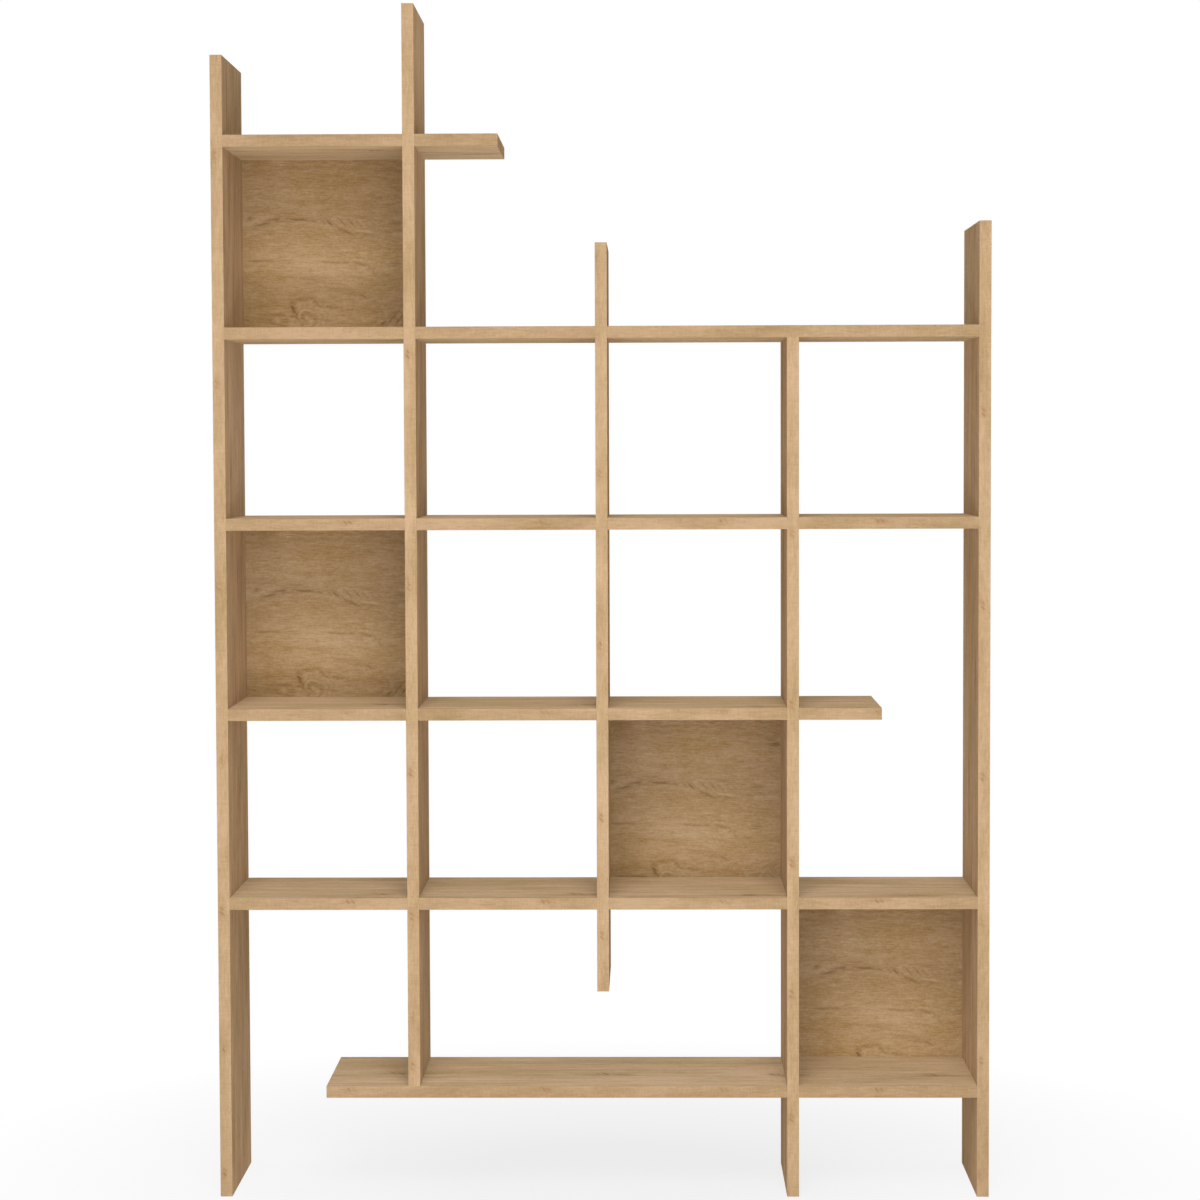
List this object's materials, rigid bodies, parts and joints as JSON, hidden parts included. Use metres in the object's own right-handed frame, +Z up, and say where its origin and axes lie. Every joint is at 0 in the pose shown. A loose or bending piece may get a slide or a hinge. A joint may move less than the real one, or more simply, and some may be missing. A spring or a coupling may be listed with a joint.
{
  "type": "staircase bookshelf",
  "caption": "Free-standing staircase bookshelf: stepped uprights and shelves in square open cells, some closed at the back, with overhanging shelf ends.",
  "frame": {"origin": "on the floor, under the middle of the overall box", "axes": "+Z up, front towards -Y, +X to the right seen from the front"},
  "size_m": [1.17, 0.2238, 1.804],
  "materials": {
    "oak_board": "chipboard faced with light oak melamine, satin",
    "oak_edging": "light oak edging strip, satin",
    "oak_panel": "thin hardboard with a printed oak face, grain across",
    "zinc_cam": "die-cast zinc, dull",
    "steel_bolt": "zinc-plated steel",
    "beech_dowel": "raw beech",
    "steel_nail": "bright steel"
  },
  "bodies": {
    "root": {"left_upright": "oak_board", "second_upright": "oak_board", "middle_upright": "oak_board", "fourth_upright": "oak_board", "right_upright": "oak_board", "shelf_1_bay_1": "oak_board", "shelf_2_bay_1": "oak_board", "shelf_2_bay_2": "oak_board", "shelf_3_bay_1": "oak_board", "shelf_3_bay_2": "oak_board", "shelf_3_bay_3": "oak_board", "shelf_3_bay_4": "oak_board", "shelf_4_bay_1": "oak_board", "shelf_4_bay_2": "oak_board", "shelf_4_bay_3": "oak_board", "shelf_5_bay_1": "oak_board", "shelf_5_bay_2": "oak_board", "shelf_5_bay_3": "oak_board", "shelf_5_bay_4": "oak_board", "shelf_6_bay_4": "oak_board", "shelf_1_overhang": "oak_board", "shelf_4_overhang": "oak_board", "shelf_2_wide": "oak_board", "shelf_6_long": "oak_board", "back_panel_top_left": "oak_panel", "back_panel_mid_left": "oak_panel", "back_panel_centre": "oak_panel", "back_panel_low_right": "oak_panel", "left_upright_edging": "oak_edging", "second_upright_edging": "oak_edging", "middle_upright_edging": "oak_edging", "fourth_upright_edging": "oak_edging", "right_upright_edging": "oak_edging", "shelf_1_edging": "oak_edging", "shelf_2_edging": "oak_edging", "shelf_3_edging": "oak_edging", "shelf_4_edging": "oak_edging", "shelf_5_edging": "oak_edging", "shelf_6_edging": "oak_edging", "cam_locks": "zinc_cam", "face_bolts": "steel_bolt", "double_bolts": "steel_bolt", "face_dowels": "beech_dowel", "through_dowels": "beech_dowel", "panel_nails": "steel_nail"}
  },
  "joints": []
}
